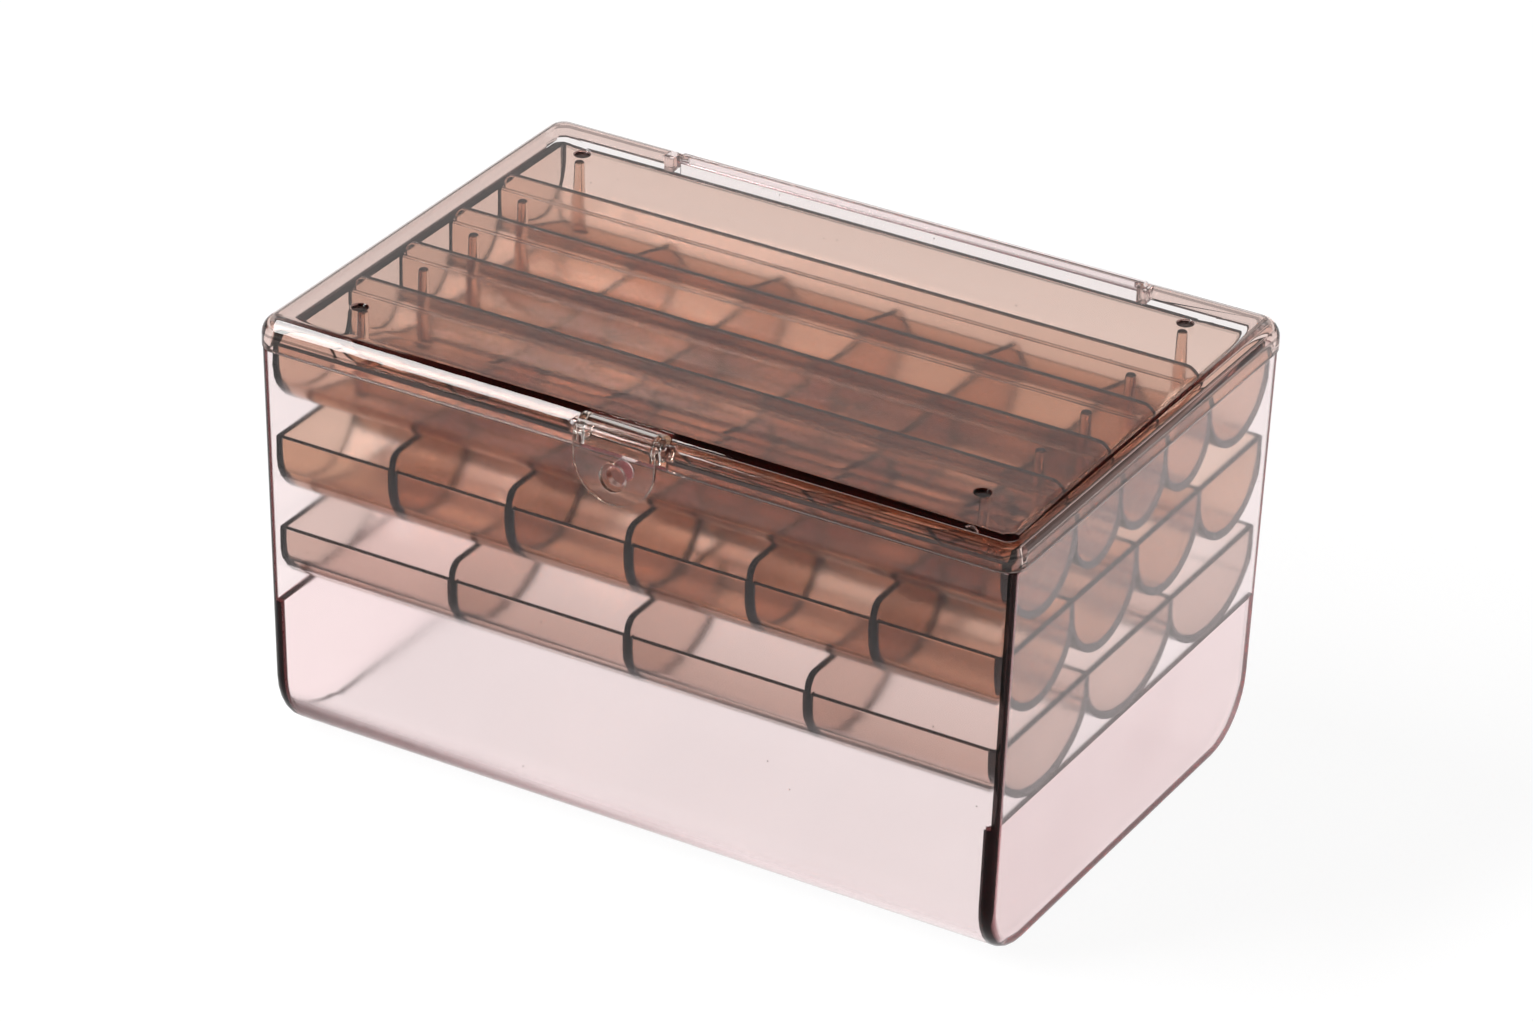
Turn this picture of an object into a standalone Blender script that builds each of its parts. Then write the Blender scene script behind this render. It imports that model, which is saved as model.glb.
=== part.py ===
"""A tiered jewelry box in tinted clear plastic: a deep case, three stacked trays, a hinged lid and a latch.

Lengths are in metres. The long side runs along X, the latch faces -Y and Z points up. The origin is the
centre of the case's flat bottom. The latch rests swung just clear of its stud, so the lid is free to open.
"""

import math

import bmesh
import bpy

# Case
CASE_LENGTH = 0.2333
CASE_DEPTH = 0.1525
CASE_HEIGHT = 0.1222
CASE_WALL = 0.0020
CASE_END_WALL = 0.0019
CASE_FLOOR = 0.0025
CASE_BOTTOM_ROUND = 0.020
CASE_END_ROUND = 0.0030
CASE_END_DRAFT = 0.0030
CASE_FRONT_DRAFT = 0.0008
LEDGE_WIDTH = 0.0020

# Trays
TRAY_HEIGHT = 0.0225
TRAY_WALL = 0.0018
TRAY_FLOOR = 0.0020
TRAY_END_WALL = 0.0018
TRAY_PLAY = 0.0004
TRAY_CORNER = 0.0012
TRAY_RIM_STRAIGHT = 0.0043
DIVIDER_WALL = 0.0020
DIVIDER_RISE = 0.0054
DIVIDER_CORNER = 0.0040
LONG_DIVIDER_TOP_WALL = 0.0016
LONG_DIVIDER_INSET = 0.0034
SEAT_GAP = 0.0003
TRAY_COUNT = 3
STACK_CLEARANCE = 0.0006
TOP_CHANNEL_SHARES = (7, 5, 5, 5, 7)
MIDDLE_ROW_SHARES = (1, 1, 1, 1)
MIDDLE_COLUMN_SHARES = (1, 1, 1, 1, 1, 1)
BOTTOM_ROW_SHARES = (1, 1, 1)
BOTTOM_COLUMN_SHARES = (1, 1, 1, 1)

# Necklace pegs
PEG_TOP_RADIUS = 0.00145
PEG_BASE_RADIUS = 0.0022
PEG_TOP_BEVEL = 0.0004
PEG_END_DISTANCE = 0.0174

# Lid
LID_HEIGHT = 0.0098
LID_PANEL = 0.0024
LID_SKIRT = 0.0024
LID_OVERHANG = 0.0012
LID_CORNER = 0.0065
LID_EDGE_ROUND = 0.0058
LID_INNER_EDGE_ROUND = 0.0016
LID_BACK_RELIEF = 0.0018
DIMPLE_RADIUS = 0.0023
DIMPLE_DEPTH = 0.0008
DIMPLE_END_DISTANCE = 0.0214
DIMPLE_SIDE_DISTANCE = 0.0204

# Lid hinge
HINGE_RISE = 0.0058
HINGE_LENGTH = 0.1492
HINGE_RADIUS = 0.0022
HINGE_WEB = 0.0012
HINGE_PIN_RADIUS = 0.0010
HINGE_PIN_LENGTH = 0.0030
HINGE_PIN_PLAY = 0.0003
HINGE_END_GAP = 0.0004
HINGE_ROOM = 0.0005
HINGE_EAR_WIDTH = 0.0025
HINGE_EAR_DEPTH = 0.0045
HINGE_EAR_DROP = 0.0031

# Latch
LATCH_WIDTH = 0.0252
LATCH_RADIUS = 0.0045
LATCH_SHELL = 0.0013
LATCH_SHELL_END = math.radians(10)
LATCH_CHEEK = 0.0020
LATCH_MOUTH = 0.0020
LATCH_AXIS_RISE = 0.00655
LATCH_AXIS_REACH = 0.00145
LATCH_PIN_RADIUS = 0.0012
LATCH_PIN_PLAY = 0.0003
LATCH_BOSS_RADIUS = 0.0022
LATCH_BOSS_LENGTH = 0.0025
LATCH_ROOM = 0.0004
TONGUE_THICKNESS = 0.0015
TONGUE_STRAIGHT = 0.00505
TONGUE_HOLE_DROP = 0.00975
STUD_RADIUS = 0.0031
STUD_PLAY = 0.0009
STUD_CATCH = 0.0006
STUD_BEVEL = 0.0005
LATCH_REST_TURN = math.radians(4)

# Facets of round stretches, and the reach of cutters and joined roots
ARC_STEPS = 8
CORNER_STEPS = 4
ROUND_STEPS = 24
PEG_STEPS = 12
OVERRUN = 0.0020
ROOT = 0.0006

# Tinted plastic
TINT = (0.78, 0.55, 0.53, 1.0)
CLEARNESS = 0.9
GLOSS_ROUGHNESS = 0.06
SHARP_ANGLE = math.radians(35)

# Places that follow from the sizes
TRAY_PITCH = TRAY_HEIGHT + DIVIDER_RISE + SEAT_GAP
LID_BOTTOM = CASE_HEIGHT + SEAT_GAP
LID_TOP = CASE_HEIGHT + LID_HEIGHT
LID_UNDERSIDE = LID_TOP - LID_PANEL
LEDGE_HEIGHT = LID_UNDERSIDE - STACK_CLEARANCE - TRAY_COUNT * TRAY_PITCH
LID_HALF_LENGTH = CASE_LENGTH / 2 + LID_OVERHANG
LID_HALF_DEPTH = CASE_DEPTH / 2 + LID_OVERHANG
HINGE_Y = CASE_DEPTH / 2
HINGE_Z = CASE_HEIGHT + HINGE_RISE
HINGE_NOTCH_HALF = HINGE_LENGTH / 2 + HINGE_END_GAP
LATCH_Y = -CASE_DEPTH / 2 - LATCH_AXIS_REACH
LATCH_Z = CASE_HEIGHT + LATCH_AXIS_RISE
LATCH_NOTCH_HALF = LATCH_WIDTH / 2 + LATCH_ROOM
TONGUE_BACK = LATCH_Y - LATCH_RADIUS + TONGUE_THICKNESS


def clear_scene():
    """Starts from an empty scene."""
    for thing in list(bpy.data.objects):
        bpy.data.objects.remove(thing)


def plastic(name):
    """Glossy see-through plastic in the box's smoky pink."""
    material = bpy.data.materials.new(name)
    material.use_nodes = True
    shader = material.node_tree.nodes["Principled BSDF"]
    shader.inputs["Base Color"].default_value = TINT
    shader.inputs["Roughness"].default_value = GLOSS_ROUGHNESS
    shader.inputs["Metallic"].default_value = 0.0
    shader.inputs["Transmission Weight"].default_value = CLEARNESS
    return material


def joint_empty(name, place, parent=None, turn=0.0):
    """An empty on a joint's axis, turned about X, which carries the piece that moves there."""
    empty = bpy.data.objects.new(name, None)
    bpy.context.scene.collection.objects.link(empty)
    empty.parent = parent
    offset = parent.matrix_world.translation if parent else (0, 0, 0)
    empty.location = [place[axis] - offset[axis] for axis in range(3)]
    empty.rotation_euler = (turn, 0, 0)
    bpy.context.view_layer.update()
    return empty


def make_object(name, mesh, joint=None):
    """Links the mesh as an object. On a joint it is stored about the joint's axis."""
    if joint is not None:
        bmesh.ops.translate(mesh, vec=-joint.matrix_world.translation, verts=mesh.verts)
    bmesh.ops.recalc_face_normals(mesh, faces=mesh.faces)
    data = bpy.data.meshes.new(name)
    mesh.to_mesh(data)
    mesh.free()
    data.shade_smooth()
    data.set_sharp_from_angle(angle=SHARP_ANGLE)
    made = bpy.data.objects.new(name, data)
    bpy.context.scene.collection.objects.link(made)
    made.parent = joint
    return made


def make_part(name, mesh, joint=None):
    """A visible piece with its own plastic."""
    part = make_object(name, mesh, joint)
    part.data.materials.append(plastic(name + "_plastic"))
    return part


def combine(part, operation, name, mesh):
    """Adds the mesh to the part, takes it away, or keeps what both hold, with a Boolean modifier."""
    helper = make_object(name, mesh, part.parent)
    helper.hide_render = True
    helper.display_type = "WIRE"
    modifier = part.modifiers.new(name, "BOOLEAN")
    modifier.operation = operation
    modifier.solver = "EXACT"
    modifier.object = helper


def join_rings(mesh, rings):
    """Closes a stack of point rings into a solid with flat ends."""
    mesh.faces.new(rings[0])
    mesh.faces.new(rings[-1])
    for lower, upper in zip(rings, rings[1:]):
        for here in range(len(lower)):
            after = (here + 1) % len(lower)
            mesh.faces.new((lower[here], lower[after], upper[after], upper[here]))


def add_prism(mesh, outline, start, end):
    """Sweeps a (y, z) outline along X from start(z) to end(z), so that its ends may lean."""
    join_rings(mesh, [[mesh.verts.new((reach(z), y, z)) for y, z in outline] for reach in (start, end)])


def add_rounded_prism(mesh, outline, half_x, half_y, corner):
    """Sweeps a (y, z) outline along X and draws it in at both ends, which rounds the upright corners."""
    turns = [math.pi / 2 * step / CORNER_STEPS for step in range(CORNER_STEPS + 1)]
    rings = []
    for side, steps in ((-1, reversed(turns)), (1, turns)):
        for turn in steps:
            x = side * (half_x - corner * (1 - math.sin(turn)))
            reach = half_y - corner * (1 - math.cos(turn))
            rings.append([mesh.verts.new((x, max(-reach, min(reach, y)), z)) for y, z in outline])
    join_rings(mesh, rings)


def add_plate(mesh, outline, start, end):
    """Sweeps an (x, z) outline along Y."""
    join_rings(mesh, [[mesh.verts.new((x, y, z)) for x, z in outline] for y in (start, end)])


def add_box(mesh, low, high):
    """A box between two opposite corners."""
    outline = [(low[0], low[2]), (high[0], low[2]), (high[0], high[2]), (low[0], high[2])]
    add_plate(mesh, outline, low[1], high[1])


def circle(radius, steps):
    """Points evenly round a circle about the origin."""
    turns = [2 * math.pi * step / steps for step in range(steps)]
    return [(radius * math.cos(turn), radius * math.sin(turn)) for turn in turns]


def add_rod(mesh, radius, start, end, y, z):
    """A round rod along X."""
    outline = [(y + across, z + along) for across, along in circle(radius, ROUND_STEPS)]
    add_prism(mesh, outline, lambda height: start, lambda height: end)


def add_stud(mesh, profile, x, y, z, steps=ROUND_STEPS):
    """Turns (radius, reach) pairs round an axis that points along -Y from a point."""
    rings = []
    for radius, reach in profile:
        ring = []
        for across, along in circle(radius, steps):
            ring.append(mesh.verts.new((x + across, y - reach, z + along)))
        rings.append(ring)
    join_rings(mesh, rings)


def add_post(mesh, profile, x, y, steps=ROUND_STEPS):
    """Turns (radius, height) pairs round an upright axis."""
    rings = []
    for radius, height in profile:
        ring = []
        for across, along in circle(radius, steps):
            ring.append(mesh.verts.new((x + across, y + along, height)))
        rings.append(ring)
    join_rings(mesh, rings)


def add_rounded_slab(mesh, half_x, half_y, corner, levels):
    """Stacks upright round-cornered outlines, each drawn in by the inset of its (inset, height) pair."""
    rings = []
    for inset, level in levels:
        ring = []
        for quarter, (side_x, side_y) in enumerate(((1, 1), (-1, 1), (-1, -1), (1, -1))):
            for step in range(ARC_STEPS + 1):
                turn = math.pi / 2 * (quarter + step / ARC_STEPS)
                x = side_x * (half_x - corner) + (corner - inset) * math.cos(turn)
                y = side_y * (half_y - corner) + (corner - inset) * math.sin(turn)
                ring.append(mesh.verts.new((x, y, level)))
        rings.append(ring)
    join_rings(mesh, rings)


def rounded_top(low, high, edge_round):
    """The levels of a slab whose top edge is rounded over."""
    levels = [(0, low)]
    for step in range(ARC_STEPS + 1):
        turn = math.pi / 2 * step / ARC_STEPS
        levels.append((edge_round * (1 - math.cos(turn)), high - edge_round * (1 - math.sin(turn))))
    return levels


def half_length(height):
    """Half the case's outer length at a height: the ends lean in towards the bottom."""
    return CASE_LENGTH / 2 - CASE_END_DRAFT * (1 - height / CASE_HEIGHT)


def half_depth(height):
    """Half the case's outer depth at a height."""
    return CASE_DEPTH / 2 - CASE_FRONT_DRAFT * (1 - height / CASE_HEIGHT)


def case_outline(inset, floor, top):
    """The case seen from its end: straight front and back, and long bottom edges of large radius."""
    radius = CASE_BOTTOM_ROUND - inset
    centre = half_depth(0) - CASE_BOTTOM_ROUND
    outline = [(half_depth(top) - inset, top)]
    for step in range(ARC_STEPS + 1):
        turn = math.pi / 2 * step / ARC_STEPS
        outline.append((centre + radius * math.cos(turn), floor + radius * (1 - math.sin(turn))))
    return outline + [(-y, z) for y, z in reversed(outline)]


def add_case_block(mesh):
    """The case's outside: each end is rounded over all round, except along the open rim."""
    turns = [math.pi / 2 * step / ARC_STEPS for step in range(ARC_STEPS + 1)]
    rings = []
    for side, steps in ((-1, reversed(turns)), (1, turns)):
        for turn in steps:
            inset = CASE_END_ROUND * (1 - math.cos(turn))
            back = CASE_END_ROUND * (1 - math.sin(turn))
            ring = []
            for y, z in case_outline(inset, inset, CASE_HEIGHT):
                ring.append(mesh.verts.new((side * (half_length(z) - back), y, z)))
            rings.append(ring)
    join_rings(mesh, rings)


def build_case():
    """The open-topped case with its inside step, the hinge barrel and the stud."""
    mesh = bmesh.new()
    add_case_block(mesh)
    case = make_part("case", mesh)

    mesh = bmesh.new()
    outline = case_outline(CASE_WALL, CASE_FLOOR, CASE_HEIGHT + OVERRUN)
    inner = CASE_END_WALL
    add_prism(mesh, outline, lambda z: inner - half_length(z), lambda z: half_length(z) - inner)
    combine(case, "DIFFERENCE", "case_cavity", mesh)

    # Below the ledge each end wall is thicker, and the bottom tray stands on the step.
    mesh = bmesh.new()
    outline = case_outline(CASE_WALL - ROOT, CASE_FLOOR - ROOT, LEDGE_HEIGHT)
    rooted = CASE_END_WALL - ROOT
    step = CASE_END_WALL + LEDGE_WIDTH
    add_prism(mesh, outline, lambda z: half_length(z) - step, lambda z: half_length(z) - rooted)
    add_prism(mesh, outline, lambda z: step - half_length(z), lambda z: rooted - half_length(z))
    combine(case, "UNION", "case_ledges", mesh)

    # A web on the back rim carries the hinge barrel, and the lid's pins turn in its ends.
    half = HINGE_LENGTH / 2
    web_y = (CASE_DEPTH - CASE_WALL) / 2
    web = HINGE_WEB / 2
    mesh = bmesh.new()
    add_box(mesh, (-half, web_y - web, CASE_HEIGHT - ROOT), (half, web_y + web, HINGE_Z))
    combine(case, "UNION", "hinge_web", mesh)
    mesh = bmesh.new()
    add_rod(mesh, HINGE_RADIUS, -half, half, HINGE_Y, HINGE_Z)
    combine(case, "UNION", "hinge_barrel", mesh)
    mesh = bmesh.new()
    bore = HINGE_PIN_RADIUS + HINGE_PIN_PLAY
    add_rod(mesh, bore, half - HINGE_PIN_LENGTH, half + OVERRUN, HINGE_Y, HINGE_Z)
    add_rod(mesh, bore, -half - OVERRUN, HINGE_PIN_LENGTH - half, HINGE_Y, HINGE_Z)
    combine(case, "DIFFERENCE", "hinge_bores", mesh)

    # The stud on the front wall reaches into the latch's hole.
    stud_z = LATCH_Z - TONGUE_HOLE_DROP
    wall_y = -half_depth(stud_z)
    reach = wall_y - TONGUE_BACK + STUD_CATCH
    profile = [(STUD_RADIUS, -ROOT), (STUD_RADIUS, reach - STUD_BEVEL), (STUD_RADIUS - STUD_BEVEL, reach)]
    mesh = bmesh.new()
    add_stud(mesh, profile, 0, wall_y, stud_z)
    combine(case, "UNION", "latch_stud", mesh)


def spans(shares, low, high, wall):
    """Splits the stretch from low to high into clear spans with a wall between each two."""
    clear = high - low - wall * (len(shares) - 1)
    found = []
    for share in shares:
        end = low + clear * share / sum(shares)
        found.append((low, end))
        low = end + wall
    return found


class Tray:
    """Sizes and places of one tray, numbered from the bottom of the stack."""

    def __init__(self, number, row_shares):
        self.bottom = LEDGE_HEIGHT + SEAT_GAP + number * TRAY_PITCH
        self.rim = self.bottom + TRAY_HEIGHT
        self.top = self.rim + DIVIDER_RISE
        self.half_length = half_length(self.bottom) - CASE_END_WALL - TRAY_PLAY
        self.half_depth = half_depth(self.bottom) - CASE_WALL - TRAY_PLAY
        inner = self.half_depth - TRAY_WALL
        self.rows = spans(row_shares, -inner, inner, DIVIDER_WALL)

    def trough(self, row):
        """Centre and half axes of a row's round bottom, on the inside."""
        low, high = row
        half = (high - low) / 2
        depth = min(half, TRAY_HEIGHT - TRAY_FLOOR - TRAY_RIM_STRAIGHT)
        return (low + high) / 2, self.bottom + TRAY_FLOOR + depth, half, depth

    def inner_outline(self, row):
        """A row's hollow seen from the tray's end, open above the rim."""
        y, z, half, depth = self.trough(row)
        outline = [(row[0], self.top + OVERRUN)]
        for step in range(2 * ARC_STEPS + 1):
            turn = math.pi * (1 + step / (2 * ARC_STEPS))
            outline.append((y + half * math.cos(turn), z + depth * math.sin(turn)))
        return outline + [(row[1], self.top + OVERRUN)]

    def outer_outline(self):
        """The scalloped underside seen from the tray's end, from the front face to the back face."""
        outline = []
        for number, row in enumerate(self.rows):
            y, z, half, depth = self.trough(row)
            wide, deep = half + TRAY_WALL, depth + TRAY_FLOOR
            shared = math.acos((half + DIVIDER_WALL / 2) / wide)
            first = shared if number > 0 else 0
            last = shared if number < len(self.rows) - 1 else 0
            for step in range(2 * ARC_STEPS + 1):
                turn = math.pi + first + (math.pi - first - last) * step / (2 * ARC_STEPS)
                outline.append((y + wide * math.cos(turn), z + deep * math.sin(turn)))
        return outline

    def raised_outline(self, top, corner):
        """The scalloped underside closed by a higher top with round corners."""
        outline = self.outer_outline()
        for side in (1, -1):
            arc = []
            for step in range(ARC_STEPS + 1):
                turn = math.pi / 2 * step / ARC_STEPS
                y = self.half_depth - corner * (1 - math.cos(turn))
                arc.append((side * y, top - corner * (1 - math.sin(turn))))
            outline += arc if side > 0 else reversed(arc)
        return outline


def build_cell_tray(name, number, row_shares, column_shares):
    """A tray of cells, whose cross dividers stand above the rim and carry the tray above."""
    tray = Tray(number, row_shares)
    outline = tray.raised_outline(tray.top, DIVIDER_CORNER)
    mesh = bmesh.new()
    add_rounded_prism(mesh, outline, tray.half_length, tray.half_depth, TRAY_CORNER)
    part = make_part(name, mesh)
    inner = tray.half_length - TRAY_END_WALL
    columns = spans(column_shares, -inner, inner, DIVIDER_WALL)

    lows = [-tray.half_length - OVERRUN] + [low for low, high in columns[1:]]
    highs = [high for low, high in columns[:-1]] + [tray.half_length + OVERRUN]
    reach = tray.half_depth + OVERRUN
    mesh = bmesh.new()
    for low, high in zip(lows, highs):
        add_box(mesh, (low, -reach, tray.rim), (high, reach, tray.top + OVERRUN))
    combine(part, "DIFFERENCE", name + "_rim_cut", mesh)

    mesh = bmesh.new()
    for low, high in columns:
        for row in tray.rows:
            add_prism(mesh, tray.inner_outline(row), lambda z: low, lambda z: high)
    combine(part, "DIFFERENCE", name + "_cells", mesh)


def plate_outline(half, low, high, corner):
    """A plate's outline, flat below and with round top corners."""
    outline = [(-half, low), (half, low)]
    for side in (1, -1):
        arc = []
        for step in range(ARC_STEPS + 1):
            turn = math.pi / 2 * step / ARC_STEPS
            x = half - corner * (1 - math.cos(turn))
            arc.append((side * x, high - corner * (1 - math.sin(turn))))
        outline += arc if side > 0 else reversed(arc)
    return outline


def build_channel_tray(name, number, channel_shares):
    """The top tray: long channels for necklaces, with a peg near each end of each channel."""
    tray = Tray(number, channel_shares)
    outline = tray.outer_outline() + [(tray.half_depth, tray.rim), (-tray.half_depth, tray.rim)]
    mesh = bmesh.new()
    add_rounded_prism(mesh, outline, tray.half_length, tray.half_depth, TRAY_CORNER)
    part = make_part(name, mesh)

    inner = tray.half_length - TRAY_END_WALL
    mesh = bmesh.new()
    for row in tray.rows:
        add_prism(mesh, tray.inner_outline(row), lambda z: -inner, lambda z: inner)
    combine(part, "DIFFERENCE", name + "_channels", mesh)

    half = tray.half_length - LONG_DIVIDER_INSET
    raised = plate_outline(half, tray.rim - ROOT, tray.top, DIVIDER_CORNER)
    wall = LONG_DIVIDER_TOP_WALL / 2
    mesh = bmesh.new()
    for row in tray.rows[:-1]:
        middle = row[1] + DIVIDER_WALL / 2
        add_plate(mesh, raised, middle - wall, middle + wall)
    combine(part, "UNION", name + "_dividers", mesh)

    foot = tray.bottom + TRAY_FLOOR - ROOT
    shoulder = PEG_TOP_RADIUS + (PEG_BASE_RADIUS - PEG_TOP_RADIUS) * PEG_TOP_BEVEL / (tray.top - foot)
    profile = [(PEG_BASE_RADIUS, foot), (shoulder, tray.top - PEG_TOP_BEVEL)]
    profile.append((PEG_TOP_RADIUS - PEG_TOP_BEVEL, tray.top))
    mesh = bmesh.new()
    for low, high in tray.rows:
        for x in (PEG_END_DISTANCE - tray.half_length, tray.half_length - PEG_END_DISTANCE):
            add_post(mesh, profile, x, (low + high) / 2, PEG_STEPS)
    combine(part, "UNION", name + "_pegs", mesh)


def build_lid(joint):
    """A flat panel with a rounded skirt, notched at the back for the barrel and in front for the latch."""
    mesh = bmesh.new()
    levels = rounded_top(LID_BOTTOM, LID_TOP, LID_EDGE_ROUND)
    add_rounded_slab(mesh, LID_HALF_LENGTH, LID_HALF_DEPTH, LID_CORNER, levels)
    lid = make_part("lid", mesh, joint)

    inner_x = LID_HALF_LENGTH - LID_SKIRT
    inner_y = LID_HALF_DEPTH - LID_SKIRT
    levels = rounded_top(LID_BOTTOM - OVERRUN, LID_UNDERSIDE, LID_INNER_EDGE_ROUND)
    mesh = bmesh.new()
    add_rounded_slab(mesh, inner_x, inner_y, LID_CORNER - LID_SKIRT, levels)
    combine(lid, "DIFFERENCE", "lid_hollow", mesh)

    # Ears inside the skirt hold the hinge pins, and bosses on its outside hold the latch's pin.
    mesh = bmesh.new()
    low_y, high_y = inner_y - HINGE_EAR_DEPTH, inner_y + ROOT
    for side in (-1, 1):
        x = sorted((side * (HINGE_NOTCH_HALF - ROOT), side * (HINGE_NOTCH_HALF + HINGE_EAR_WIDTH)))
        add_box(mesh, (x[0], low_y, HINGE_Z - HINGE_EAR_DROP), (x[1], high_y, LID_UNDERSIDE + ROOT))
    combine(lid, "UNION", "hinge_ears", mesh)
    mesh = bmesh.new()
    boss_end = LATCH_NOTCH_HALF + LATCH_BOSS_LENGTH
    add_rod(mesh, LATCH_BOSS_RADIUS, -boss_end, boss_end, LATCH_Y, LATCH_Z)
    combine(lid, "UNION", "latch_bosses", mesh)

    mesh = bmesh.new()
    outside = LID_HALF_DEPTH + OVERRUN
    low, high = LID_BOTTOM - OVERRUN, LID_TOP + OVERRUN
    front_start = LATCH_Y - LATCH_BOSS_RADIUS - OVERRUN
    front_end = LATCH_Y + LATCH_RADIUS + LATCH_ROOM
    add_box(mesh, (-LATCH_NOTCH_HALF, front_start, low), (LATCH_NOTCH_HALF, front_end, high))
    back_start = HINGE_Y - HINGE_RADIUS - HINGE_ROOM
    add_box(mesh, (-HINGE_NOTCH_HALF, back_start, low), (HINGE_NOTCH_HALF, outside, high))
    combine(lid, "DIFFERENCE", "lid_notches", mesh)

    # The back skirt is shorter between its corners, so that it swings clear of the top tray.
    mesh = bmesh.new()
    relief_x = inner_x + ROOT
    add_box(mesh, (-relief_x, inner_y - LID_CORNER, low), (relief_x, outside, LID_BOTTOM + LID_BACK_RELIEF))
    combine(lid, "DIFFERENCE", "lid_back_relief", mesh)

    mesh = bmesh.new()
    rooted = LATCH_NOTCH_HALF + ROOT
    add_rod(mesh, LATCH_PIN_RADIUS, -rooted, rooted, LATCH_Y, LATCH_Z)
    tip = HINGE_NOTCH_HALF - HINGE_PIN_LENGTH
    rooted = HINGE_NOTCH_HALF + ROOT
    add_rod(mesh, HINGE_PIN_RADIUS, tip, rooted, HINGE_Y, HINGE_Z)
    add_rod(mesh, HINGE_PIN_RADIUS, -rooted, -tip, HINGE_Y, HINGE_Z)
    combine(lid, "UNION", "lid_pins", mesh)

    dimple_x = LID_HALF_LENGTH - DIMPLE_END_DISTANCE
    dimple_y = LID_HALF_DEPTH - DIMPLE_SIDE_DISTANCE
    mesh = bmesh.new()
    for side_x in (-1, 1):
        for side_y in (-1, 1):
            profile = [(DIMPLE_RADIUS, LID_TOP - DIMPLE_DEPTH), (DIMPLE_RADIUS, LID_TOP + OVERRUN)]
            add_post(mesh, profile, side_x * dimple_x, side_y * dimple_y)
    combine(lid, "DIFFERENCE", "lid_dimples", mesh)


def build_latch(joint):
    """A clip that turns on the lid's front pin, with a round-ended tongue that catches the stud."""
    # The side view: a shell round the pin that runs straight down into the tongue.
    tongue_low = LATCH_Z - TONGUE_STRAIGHT - LATCH_WIDTH / 2
    outline = [(LATCH_Y - LATCH_RADIUS, tongue_low - OVERRUN)]
    for step in range(2 * ARC_STEPS + 1):
        turn = math.pi - (math.pi - LATCH_SHELL_END) * step / (2 * ARC_STEPS)
        outline.append((LATCH_Y + LATCH_RADIUS * math.cos(turn), LATCH_Z + LATCH_RADIUS * math.sin(turn)))
    inner = LATCH_RADIUS - LATCH_SHELL
    for step in range(2 * ARC_STEPS + 1):
        turn = LATCH_SHELL_END + (math.pi - LATCH_SHELL_END) * step / (2 * ARC_STEPS)
        outline.append((LATCH_Y + inner * math.cos(turn), LATCH_Z + inner * math.sin(turn)))
    outline.append((TONGUE_BACK, LATCH_Z - TONGUE_THICKNESS))
    outline.append((TONGUE_BACK, tongue_low - OVERRUN))
    wide = LATCH_WIDTH / 2 + OVERRUN
    mesh = bmesh.new()
    add_prism(mesh, outline, lambda z: -wide, lambda z: wide)
    latch = make_part("latch", mesh, joint)

    mesh = bmesh.new()
    cheek_start = LATCH_WIDTH / 2 - LATCH_CHEEK
    add_rod(mesh, LATCH_RADIUS - ROOT, cheek_start, wide, LATCH_Y, LATCH_Z)
    add_rod(mesh, LATCH_RADIUS - ROOT, -wide, -cheek_start, LATCH_Y, LATCH_Z)
    combine(latch, "UNION", "latch_cheeks", mesh)

    # The front view: straight sides and a half-round end.
    half = LATCH_WIDTH / 2
    deep = LATCH_RADIUS + OVERRUN
    front = [(half, LATCH_Z + deep), (-half, LATCH_Z + deep)]
    for step in range(4 * ARC_STEPS + 1):
        turn = math.pi * (1 + step / (4 * ARC_STEPS))
        front.append((half * math.cos(turn), LATCH_Z - TONGUE_STRAIGHT + half * math.sin(turn)))
    mesh = bmesh.new()
    add_plate(mesh, front, LATCH_Y - deep, LATCH_Y + deep)
    combine(latch, "INTERSECT", "latch_front", mesh)

    # The cheeks snap over the pin through a mouth at the back.
    mesh = bmesh.new()
    add_rod(mesh, LATCH_PIN_RADIUS + LATCH_PIN_PLAY, -wide, wide, LATCH_Y, LATCH_Z)
    combine(latch, "DIFFERENCE", "latch_bore", mesh)
    mesh = bmesh.new()
    mouth = LATCH_MOUTH / 2
    add_box(mesh, (-wide, LATCH_Y - mouth, LATCH_Z - deep), (wide, LATCH_Y + mouth, LATCH_Z))
    combine(latch, "DIFFERENCE", "latch_mouth", mesh)

    hole = STUD_RADIUS + STUD_PLAY
    profile = [(hole, -OVERRUN), (hole, TONGUE_THICKNESS + OVERRUN)]
    mesh = bmesh.new()
    add_stud(mesh, profile, 0, TONGUE_BACK, LATCH_Z - TONGUE_HOLE_DROP)
    combine(latch, "DIFFERENCE", "latch_hole", mesh)


def build_box():
    """The whole box: the trays stack inside the case, and the latch turns on the lid."""
    clear_scene()
    build_case()
    build_cell_tray("bottom_tray", 0, BOTTOM_ROW_SHARES, BOTTOM_COLUMN_SHARES)
    build_cell_tray("middle_tray", 1, MIDDLE_ROW_SHARES, MIDDLE_COLUMN_SHARES)
    build_channel_tray("top_tray", 2, TOP_CHANNEL_SHARES)
    lid_hinge = joint_empty("lid_hinge", (0, HINGE_Y, HINGE_Z))
    build_lid(lid_hinge)
    build_latch(joint_empty("latch_hinge", (0, LATCH_Y, LATCH_Z), lid_hinge, -LATCH_REST_TURN))


build_box()
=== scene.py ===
import math
import bmesh
import bpy
from mathutils import Matrix, Vector
from mathutils.bvhtree import BVHTree


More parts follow.
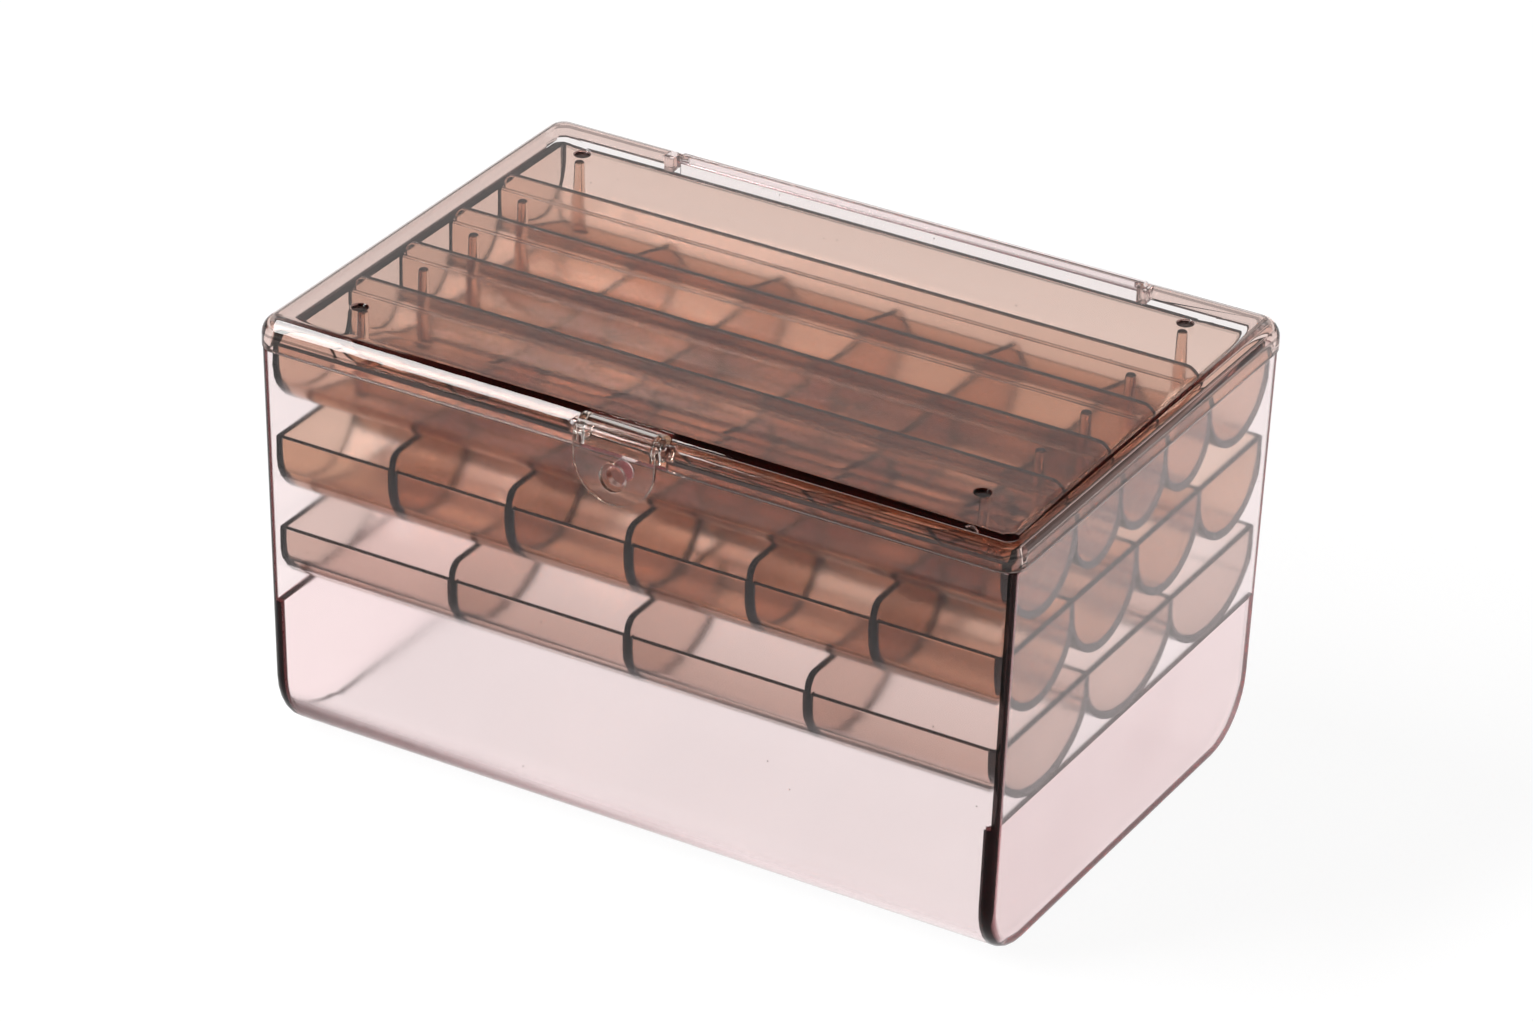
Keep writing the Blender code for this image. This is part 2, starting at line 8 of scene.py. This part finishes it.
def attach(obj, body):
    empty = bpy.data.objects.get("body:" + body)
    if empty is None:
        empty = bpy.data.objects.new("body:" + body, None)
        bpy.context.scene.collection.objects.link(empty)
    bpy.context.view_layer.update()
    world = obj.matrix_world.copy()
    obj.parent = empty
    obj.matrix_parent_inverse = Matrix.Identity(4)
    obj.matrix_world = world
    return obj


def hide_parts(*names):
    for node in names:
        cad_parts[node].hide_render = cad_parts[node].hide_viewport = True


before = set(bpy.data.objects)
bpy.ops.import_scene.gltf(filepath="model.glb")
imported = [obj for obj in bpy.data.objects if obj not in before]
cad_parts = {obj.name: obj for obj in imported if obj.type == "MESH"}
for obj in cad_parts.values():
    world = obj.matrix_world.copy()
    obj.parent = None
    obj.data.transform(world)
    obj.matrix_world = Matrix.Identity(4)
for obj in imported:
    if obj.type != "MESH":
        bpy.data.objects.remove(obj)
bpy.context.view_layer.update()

# What sets one piece of smoky pink plastic apart from the next:
#   body         the CAD body that it rides on
#   smoke        how fast it takes red, green and blue out of light, per metre
#   mirror       how strongly its surface mirrors, as a share of what clear plastic does
#   edge_mirror  the same where a wall is seen on end and painted dark as shade
#   round        rounding of its moulded edges, in metres
#   haze         lowest and highest roughness of its surface
#   ripple       depth of its flow ripples, in metres
LOOKS = {
    "case": {
        "body": "box", "smoke": (7, 33, 31), "mirror": 0.5, "edge_mirror": 0.15,
        "round": 0.0004, "haze": (0.11, 0.17), "ripple": 0.000008},
    "bottom_tray": {
        "body": "box", "smoke": (84, 152, 186), "mirror": 0.6, "edge_mirror": 0.15,
        "round": 0.0004, "haze": (0.12, 0.18), "ripple": 0.000008},
    "middle_tray": {
        "body": "box", "smoke": (100, 226, 326), "mirror": 0.6, "edge_mirror": 0.15,
        "round": 0.0004, "haze": (0.13, 0.19), "ripple": 0.000008},
    "top_tray": {
        "body": "box", "smoke": (90, 194, 262), "mirror": 0.6, "edge_mirror": 0.15,
        "round": 0.0003, "haze": (0.11, 0.17), "ripple": 0.000006},
    "lid": {
        "body": "lid", "smoke": (15, 28, 30), "mirror": 0.8, "edge_mirror": 0.3,
        "round": 0.0004, "haze": (0.0, 0.012), "ripple": 0.000001},
    "latch": {
        "body": "latch", "smoke": (8, 21, 32), "mirror": 0.3, "edge_mirror": 1.0,
        "round": 0.0003, "haze": (0.0, 0.012), "ripple": 0.000001}}

PLASTIC_IOR = 1.42
ABSORPTION_DENSITY = 1000.0
SURFACE_TINT = (1.0, 0.995, 0.99, 1.0)
SPECK_TINT = (0.25, 0.17, 0.15, 1.0)
# Painted shade: near black laid on walls seen on end, rims, crests, dimples and the lid's lines
EDGE_PAINTED_SHADE = (0.005, 0.003, 0.003, 1.0)
# Painted shade: the lid's rounded edge and skirt are painted darker and browner
SKIRT_PAINTED_SHADE = (0.84, 0.70, 0.65, 1.0)

# Slow clouds in the haze, specks of darker resin, flow ripples along the wall and drag lines down it
CLOUD_STRETCH, CLOUD_SCALE, CLOUD_DETAIL, CLOUD_SPAN = (1, 1, 1), 22.0, 3.0, (0.3, 0.7)
SPECK_SCALE, SPECK_SPAN = 95.0, (0.018, 0.030)
RIPPLE_STRETCH, RIPPLE_SCALE, RIPPLE_DETAIL = (0.2, 1, 0.5), 70.0, 2.0
HAIR_STRETCH, HAIR_SCALE, HAIR_DETAIL, HAIR_SPAN, HAIR_SHARE = (1, 1, 0.02), 2500.0, 1.0, (0.62, 0.78), 0.12

# Corners closer than this are one, edges sharper than this are rounded, and blunter ones are shaded smooth
MERGE = 0.000002
ROUNDED_ANGLE, CREASE_ANGLE = math.radians(35), math.radians(50)
ROUND_STEPS, ROUND_PROFILE = 2, 0.5

# Where the walls stand, in metres, as the CAD has them
CASE_HALF_LENGTH, CASE_HALF_DEPTH, CASE_RIM = 0.11665, 0.07625, 0.1222
CASE_END_DRAFT, CASE_FRONT_DRAFT = 0.0030, 0.0008
CASE_WALL, CASE_END_WALL, CASE_LEDGE, LEDGE_WIDTH = 0.0020, 0.0019, 0.0444, 0.0020
TRAY_PITCH, TRAY_HEIGHT, DIVIDER_RISE, SEAT_GAP = 0.0282, 0.0225, 0.0054, 0.0003
TRAY_PLAY, TRAY_END_WALL, DIVIDER_WALL = 0.0004, 0.0018, 0.0020
TRAY_COLUMNS = {"bottom_tray": 4, "middle_tray": 6, "top_tray": 1}
LID_TOP, LID_BOTTOM = 0.1320, 0.1225
DIMPLE_X, DIMPLE_Y, DIMPLE_RADIUS, DIMPLE_DEPTH = 0.09645, 0.05705, 0.0023, 0.0008
TONGUE_TOP = 0.1245

# Half the width of a painted shade line along a rim, and how far a wall's end reaches past it round the corner
RIM_BAND, FILLET = 0.0004, 0.0003
# A face counts as turned along an axis from the first share of its normal, and fully from the second
FACING_SPAN = (0.70, 0.85)
# How upright a normal is where the lid's edge begins to round and its painted shade begins, and in the painted
# shade lines at its top and its side
SKIRT_SPAN = (0.85, 0.97)
LINE_TOP, LINE_TOP_HALF = 0.95, 0.03
LINE_SIDE, LINE_SIDE_HALF = 0.16, 0.06
# How dark the painted shade lines are that aren't fully dark
CASE_RIM_SHARE = 0.35
TRAY_RIM_SHARE = {"bottom_tray": 1.0, "middle_tray": 1.0, "top_tray": 0.25}
CREST_SHARE = 0.7
FOOT_SHARE, LINE_SHARE = 0.5, 0.7
TONGUE_SHARE, CHEEK_SHARE = 0.7, 0.5

# The camera at the photograph's viewing angle: its angles, where it looks, its distance and its focal length
CAMERA_AZIMUTH, CAMERA_ELEVATION, CAMERA_ROLL = math.radians(29.79), math.radians(28.81), math.radians(1.48)
CAMERA_TARGET, CAMERA_DISTANCE = Vector((0.00107, -0.00256, 0.0728)), 1.78867
SENSOR_WIDTH, FOCAL_PIXELS, PHOTO_WIDTH, CAMERA_REACH = 36, 6495.4, 1533, 50

# Seen by the camera or through the plastic, the floor is white but for a faint shadow
FLOOR_REACH, FLOOR_DROP = 4.0, 0.0002
FLOOR_GLOW, FLOOR_SHADE, FLOOR_WHITE = 0.94, 0.10, 0.8

# The studio: a white sweep behind and low all round, dim overhead and in front
SWEEP_LOW, SWEEP_HIGH, SWEEP_FADE = 0.12, 0.57, 0.06
SWEEP_BEHIND, SWEEP_SHARE = (0.3, 0.5), 0.50
WHITE, DIM = (1, 1, 1, 1), (0.08, 0.065, 0.06, 1.0)

# A strip softbox in front on the left draws the long highlight on the lid's front edge, up to the latch
KEY_PLACE, KEY_AIM, KEY_TALL_AXIS = Vector((-1.08, -0.93, 1.45)), Vector((0, 0, 0.1)), Vector((0, 0.854, 0.52))
KEY_WIDTH, KEY_HEIGHT, KEY_POWER = 0.40, 2.0, 58

# Light has to run a long way inside the lid and the walls before it comes out
BOUNCES, CLEAR_BOUNCES, MIRROR_BOUNCES, SHADOW_BOUNCES = 128, 96, 96, 16


def add(tree, kind, **values):
    """A node of the tree with its properties and input values set."""
    made = tree.nodes.new("ShaderNode" + kind)
    for key, value in values.items():
        if hasattr(made, key):
            setattr(made, key, value)
        else:
            made.inputs[key.replace("_", " ")].default_value = value
    return made


def calculate(tree, operation, *values):
    """A Math node's result, from sockets and numbers."""
    made = add(tree, "Math", operation=operation)
    for place, value in enumerate(values):
        if isinstance(value, bpy.types.NodeSocket):
            tree.links.new(value, made.inputs[place])
        else:
            made.inputs[place].default_value = value
    return made.outputs[0]


def product(tree, first, second):
    """Two values multiplied."""
    return calculate(tree, "MULTIPLY", first, second)


def largest(tree, *sources):
    """The largest of some values."""
    found = sources[0]
    for source in sources[1:]:
        found = calculate(tree, "MAXIMUM", found, source)
    return found


def ramp(tree, source, span, first, last):
    """Maps a value between two bounds onto another two."""
    made = add(tree, "MapRange")
    made.clamp = True
    for key, value in zip(("From Min", "From Max", "To Min", "To Max"), (*span, first, last)):
        made.inputs[key].default_value = value
    tree.links.new(source, made.inputs["Value"])
    return made.outputs["Result"]


def blended(tree, factor, first, second):
    """A colour between two, each a socket or a colour."""
    mix = add(tree, "Mix", data_type="RGBA")
    colours = [socket for socket in mix.inputs if socket.type == "RGBA"]
    for socket, colour in zip(colours, (first, second)):
        if isinstance(colour, bpy.types.NodeSocket):
            tree.links.new(colour, socket)
        else:
            socket.default_value = colour
    tree.links.new(factor, mix.inputs["Factor"])
    return [socket for socket in mix.outputs if socket.type == "RGBA"][0]


def grey(level):
    """A colour of one level."""
    return level, level, level, 1.0


def split(tree, source):
    """The three parts of a vector."""
    made = add(tree, "SeparateXYZ")
    tree.links.new(source, made.inputs[0])
    return made.outputs


def mapped_noise(tree, stretch, scale, detail):
    """Noise in metres of the object, stretched by three factors."""
    where = add(tree, "TexCoord")
    mapping = add(tree, "Mapping")
    mapping.inputs["Scale"].default_value = stretch
    noise = add(tree, "TexNoise", Scale=scale, Detail=detail)
    tree.links.new(where.outputs["Object"], mapping.inputs["Vector"])
    tree.links.new(mapping.outputs["Vector"], noise.inputs["Vector"])
    return noise.outputs[0]


def case_painted_shade(tree, place, turned):
    """Where the case is painted dark as shade: its corners, seen on end all the way down, its rim and the step
    inside its end walls.
    """
    x, y, z = place
    length, depth = calculate(tree, "ABSOLUTE", x), calculate(tree, "ABSOLUTE", y)
    end = calculate(tree, "MULTIPLY_ADD", z, CASE_END_DRAFT / CASE_RIM, CASE_HALF_LENGTH - CASE_END_DRAFT)
    front = calculate(tree, "MULTIPLY_ADD", z, CASE_FRONT_DRAFT / CASE_RIM, CASE_HALF_DEPTH - CASE_FRONT_DRAFT)
    below = calculate(tree, "LESS_THAN", z, CASE_LEDGE)
    wall = calculate(tree, "MULTIPLY_ADD", below, LEDGE_WIDTH, CASE_END_WALL)
    in_end = calculate(tree, "GREATER_THAN", calculate(tree, "ADD", length, wall), end)
    in_front = calculate(tree, "GREATER_THAN", calculate(tree, "ADD", depth, CASE_WALL), front)
    off_end = ramp(tree, turned[0], FACING_SPAN, 1.0, 0.0)
    strips = product(tree, in_end, largest(tree, off_end, in_front))
    rim = product(tree, calculate(tree, "COMPARE", z, CASE_RIM, RIM_BAND), CASE_RIM_SHARE)
    level = ramp(tree, turned[2], FACING_SPAN, 0.0, 1.0)
    ledge = product(tree, calculate(tree, "COMPARE", z, CASE_LEDGE, RIM_BAND), level)
    return largest(tree, strips, rim, ledge)


def tray_painted_shade(tree, place, turned, name):
    """Where a tray is painted dark as shade: its end walls and dividers, seen on end, its rim and the tops of
    its dividers.
    """
    x, y, z = place
    bottom = CASE_LEDGE + SEAT_GAP + list(TRAY_COLUMNS).index(name) * TRAY_PITCH
    outer = CASE_HALF_LENGTH - CASE_END_DRAFT * (1 - bottom / CASE_RIM) - CASE_END_WALL - TRAY_PLAY
    inner = outer - TRAY_END_WALL
    columns = TRAY_COLUMNS[name]
    cell = (2 * inner - DIVIDER_WALL * (columns - 1)) / columns
    bands = [calculate(tree, "GREATER_THAN", calculate(tree, "ABSOLUTE", x), inner - FILLET)]
    for column in range(1, columns):
        middle = -inner + column * (cell + DIVIDER_WALL) - DIVIDER_WALL / 2
        bands.append(calculate(tree, "COMPARE", x, middle, DIVIDER_WALL / 2 + FILLET))
    off_end = ramp(tree, turned[0], FACING_SPAN, 1.0, 0.0)
    strips = product(tree, largest(tree, *bands), off_end)
    rim_top = bottom + TRAY_HEIGHT
    level = ramp(tree, turned[2], FACING_SPAN, 0.0, 1.0)
    rim = product(tree, calculate(tree, "COMPARE", z, rim_top, RIM_BAND), TRAY_RIM_SHARE[name])
    crest = calculate(tree, "GREATER_THAN", z, rim_top + DIVIDER_RISE - RIM_BAND)
    return largest(tree, strips, product(tree, rim, level), product(tree, crest, CREST_SHARE))


def lid_painted_shade(tree, place, turned):
    """Where the lid is painted dark as shade: its dimples, the foot of its skirt and the lines where its edge
    begins and ends to round.
    """
    x, y, z = place
    side = calculate(tree, "SUBTRACT", calculate(tree, "ABSOLUTE", x), DIMPLE_X)
    deep = calculate(tree, "SUBTRACT", calculate(tree, "ABSOLUTE", y), DIMPLE_Y)
    reach = calculate(tree, "ADD", product(tree, side, side), product(tree, deep, deep))
    within = calculate(tree, "LESS_THAN", reach, (DIMPLE_RADIUS + RIM_BAND) ** 2)
    sunk = calculate(tree, "COMPARE", z, LID_TOP - DIMPLE_DEPTH, DIMPLE_DEPTH / 2)
    foot = product(tree, calculate(tree, "LESS_THAN", z, LID_BOTTOM + RIM_BAND), FOOT_SHARE)
    upper = calculate(tree, "COMPARE", turned[2], LINE_TOP, LINE_TOP_HALF)
    lower = calculate(tree, "COMPARE", turned[2], LINE_SIDE, LINE_SIDE_HALF)
    lines = product(tree, largest(tree, upper, lower), LINE_SHARE)
    return largest(tree, product(tree, within, sunk), foot, lines)


def latch_painted_shade(tree, place, turned):
    """Where the latch is painted dark as shade: the thin side all round its tongue, and the ends of its shell.
    """
    tongue = calculate(tree, "LESS_THAN", place[2], TONGUE_TOP)
    off_front = ramp(tree, turned[1], FACING_SPAN, 1.0, 0.0)
    off_end = ramp(tree, turned[0], FACING_SPAN, 1.0, 0.0)
    side = product(tree, product(tree, tongue, off_front), TONGUE_SHARE)
    cheek = product(tree, calculate(tree, "SUBTRACT", 1.0, off_end), CHEEK_SHARE)
    return largest(tree, side, cheek)


def tinted_plastic(name):
    """Clear moulded plastic with a smoke tint, painted shade on its edges and on the lid's skirt, a varying
    haze, ripples, drag lines and specks.
    """
    look = LOOKS[name]
    material = bpy.data.materials.new(name + "_plastic_look")
    material.use_nodes = True
    tree = material.node_tree
    shader = tree.nodes["Principled BSDF"]
    shader.inputs["IOR"].default_value = PLASTIC_IOR
    shader.inputs["Transmission Weight"].default_value = 1.0

    clouds = mapped_noise(tree, CLOUD_STRETCH, CLOUD_SCALE, CLOUD_DETAIL)
    tree.links.new(ramp(tree, clouds, CLOUD_SPAN, *look["haze"]), shader.inputs["Roughness"])

    where = add(tree, "TexCoord")
    place = split(tree, where.outputs["Object"])
    # How far the normal points along each axis, either way
    turned = [calculate(tree, "ABSOLUTE", part) for part in split(tree, where.outputs["Normal"])]

    cells = add(tree, "TexVoronoi", Scale=SPECK_SCALE)
    tree.links.new(where.outputs["Object"], cells.inputs["Vector"])
    speck = ramp(tree, cells.outputs["Distance"], SPECK_SPAN, 1.0, 0.0)
    colour = blended(tree, speck, SURFACE_TINT, SPECK_TINT)
    # Painted shade: where a wall is seen on end, along rims and crests and in the lid's lines, the colour is
    # painted near black in place of light lost on its long way inside the wall, and the mirror is lowered
    # there to keep it dark
    if name in TRAY_COLUMNS:
        edges = tray_painted_shade(tree, place, turned, name)
    elif name == "case":
        edges = case_painted_shade(tree, place, turned)
    elif name == "lid":
        # Painted shade: the lid's rounded edge and skirt turn darker and browner
        skirt = ramp(tree, turned[2], SKIRT_SPAN, 1.0, 0.0)
        colour = blended(tree, skirt, colour, SKIRT_PAINTED_SHADE)
        edges = lid_painted_shade(tree, place, turned)
    else:
        edges = latch_painted_shade(tree, place, turned)
    tree.links.new(blended(tree, edges, colour, EDGE_PAINTED_SHADE), shader.inputs["Base Color"])
    mirror = blended(tree, edges, grey(look["mirror"]), grey(look["edge_mirror"]))
    tree.links.new(mirror, shader.inputs["Specular Tint"])

    ripples = mapped_noise(tree, RIPPLE_STRETCH, RIPPLE_SCALE, RIPPLE_DETAIL)
    hair = ramp(tree, mapped_noise(tree, HAIR_STRETCH, HAIR_SCALE, HAIR_DETAIL), HAIR_SPAN, 0.0, 1.0)
    bump = add(tree, "Bump", Strength=1.0, Distance=look["ripple"])
    tree.links.new(calculate(tree, "MULTIPLY_ADD", hair, HAIR_SHARE, ripples), bump.inputs["Height"])
    tree.links.new(bump.outputs[0], shader.inputs["Normal"])

    clearness = [1 - taken / ABSORPTION_DENSITY for taken in look["smoke"]]
    volume = add(tree, "VolumeAbsorption", Color=clearness + [1.0], Density=ABSORPTION_DENSITY)
    tree.links.new(volume.outputs[0], tree.nodes["Material Output"].inputs["Volume"])
    return material


def rounded_mesh(name):
    """The CAD node's mesh with its sharp edges rounded."""
    width = LOOKS[name]["round"]
    mesh = bmesh.new()
    mesh.from_mesh(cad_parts[name].data)
    bmesh.ops.remove_doubles(mesh, verts=mesh.verts, dist=MERGE)
    sharp = [edge for edge in mesh.edges
             if len(edge.link_faces) == 2 and edge.calc_face_angle() > ROUNDED_ANGLE]
    surface = BVHTree.FromBMesh(mesh)
    bmesh.ops.bevel(mesh, geom=sharp, offset=width, offset_type="OFFSET", segments=ROUND_STEPS,
                    profile=ROUND_PROFILE, affect="EDGES", clamp_overlap=False)
    # Where short edges meet, the rounding can throw a corner off the surface, so it goes back there
    for corner in mesh.verts:
        nearest, _, _, away = surface.find_nearest(corner.co)
        if away > width / 2:
            corner.co = nearest
    bmesh.ops.dissolve_degenerate(mesh, dist=MERGE, edges=mesh.edges)
    data = bpy.data.meshes.new(name + "_moulded")
    mesh.to_mesh(data)
    mesh.free()
    data.shade_smooth()
    data.set_sharp_from_angle(angle=CREASE_ANGLE)
    return data


def moulded(name):
    """A piece that takes the CAD node's place, with rounded edges and flats that stay flat."""
    data = rounded_mesh(name)
    data.materials.append(tinted_plastic(name))
    piece = bpy.data.objects.new(name + "_moulded", data)
    bpy.context.scene.collection.objects.link(piece)
    normals = piece.modifiers.new("normals", "WEIGHTED_NORMAL")
    normals.keep_sharp = True
    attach(piece, LOOKS[name]["body"])
    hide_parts(name)


def turned_to(across, upward, backward, place):
    """The matrix of a camera or lamp at a place, from the directions of its three axes."""
    return Matrix((
        (across.x, upward.x, backward.x, place.x),
        (across.y, upward.y, backward.y, place.y),
        (across.z, upward.z, backward.z, place.z),
        (0, 0, 0, 1)))


def place_camera():
    """The camera that sees the box as the photograph does."""
    back = Vector((math.sin(CAMERA_AZIMUTH) * math.cos(CAMERA_ELEVATION),
                   -math.cos(CAMERA_AZIMUTH) * math.cos(CAMERA_ELEVATION), math.sin(CAMERA_ELEVATION)))
    side = Vector((0, 0, 1)).cross(back).normalized()
    up = back.cross(side)
    right = side * math.cos(CAMERA_ROLL) + up * math.sin(CAMERA_ROLL)
    top = up * math.cos(CAMERA_ROLL) - side * math.sin(CAMERA_ROLL)
    data = bpy.data.cameras.new("camera")
    data.sensor_width = SENSOR_WIDTH
    data.lens = SENSOR_WIDTH * FOCAL_PIXELS / PHOTO_WIDTH
    data.clip_end = CAMERA_REACH
    camera = bpy.data.objects.new("camera", data)
    bpy.context.scene.collection.objects.link(camera)
    camera.matrix_world = turned_to(right, top, back, CAMERA_TARGET + back * CAMERA_DISTANCE)
    bpy.context.scene.camera = camera


def floor_paint():
    """White to the camera and through the plastic but for a faint shadow, and matt white to other light."""
    paint = bpy.data.materials.new("floor")
    paint.use_nodes = True
    tree = paint.node_tree
    tree.nodes.clear()
    glow = add(tree, "Emission", Color=WHITE, Strength=FLOOR_GLOW)
    faint = add(tree, "BsdfDiffuse", Color=grey(FLOOR_SHADE))
    shown = add(tree, "AddShader")
    tree.links.new(glow.outputs[0], shown.inputs[0])
    tree.links.new(faint.outputs[0], shown.inputs[1])
    matt = add(tree, "BsdfDiffuse", Color=grey(FLOOR_WHITE))
    rays = add(tree, "LightPath").outputs
    seen = largest(tree, rays["Is Camera Ray"], rays["Is Glossy Ray"], rays["Is Transmission Ray"])
    mixed = add(tree, "MixShader")
    tree.links.new(seen, mixed.inputs[0])
    tree.links.new(matt.outputs[0], mixed.inputs[1])
    tree.links.new(shown.outputs[0], mixed.inputs[2])
    tree.links.new(mixed.outputs[0], add(tree, "OutputMaterial").inputs["Surface"])
    return paint


def lay_floor():
    """A plain floor just under the box."""
    mesh = bpy.data.meshes.new("floor")
    corners = [(-FLOOR_REACH, -FLOOR_REACH, 0), (FLOOR_REACH, -FLOOR_REACH, 0),
               (FLOOR_REACH, FLOOR_REACH, 0), (-FLOOR_REACH, FLOOR_REACH, 0)]
    mesh.from_pydata(corners, [], [(0, 1, 2, 3)])
    mesh.materials.append(floor_paint())
    floor = bpy.data.objects.new("floor", mesh)
    bpy.context.scene.collection.objects.link(floor)
    floor.location.z = -FLOOR_DROP


def surround():
    """The sweep behind and low all round, and the dim rest of the studio."""
    world = bpy.data.worlds.new("studio")
    bpy.context.scene.world = world
    world.use_nodes = True
    tree = world.node_tree
    tree.nodes.clear()
    x, y, z = split(tree, add(tree, "TexCoord").outputs["Generated"])
    low = ramp(tree, z, (0.0, SWEEP_LOW), 1.0, 0.0)
    high = ramp(tree, z, (SWEEP_HIGH - SWEEP_FADE, SWEEP_HIGH), 1.0, 0.0)
    behind = product(tree, ramp(tree, y, SWEEP_BEHIND, 0.0, SWEEP_SHARE), high)
    sky = add(tree, "Background")
    tree.links.new(blended(tree, largest(tree, low, behind), DIM, WHITE), sky.inputs["Color"])
    tree.links.new(sky.outputs[0], add(tree, "OutputWorld").inputs["Surface"])


def hang_key():
    """The softbox, whose height runs along its tall axis."""
    data = bpy.data.lights.new("key", "AREA")
    data.shape = "RECTANGLE"
    data.size = KEY_WIDTH
    data.size_y = KEY_HEIGHT
    data.energy = KEY_POWER
    lamp = bpy.data.objects.new("key", data)
    bpy.context.scene.collection.objects.link(lamp)
    away = (KEY_PLACE - KEY_AIM).normalized()
    wide = KEY_TALL_AXIS.cross(away).normalized()
    lamp.matrix_world = turned_to(wide, away.cross(wide), away, KEY_PLACE)


for node_name in LOOKS:
    moulded(node_name)
place_camera()
lay_floor()
surround()
hang_key()

scene = bpy.context.scene
scene.view_settings.view_transform = "Standard"
scene.cycles.max_bounces = BOUNCES
scene.cycles.transmission_bounces = CLEAR_BOUNCES
scene.cycles.glossy_bounces = MIRROR_BOUNCES
scene.cycles.transparent_max_bounces = SHADOW_BOUNCES
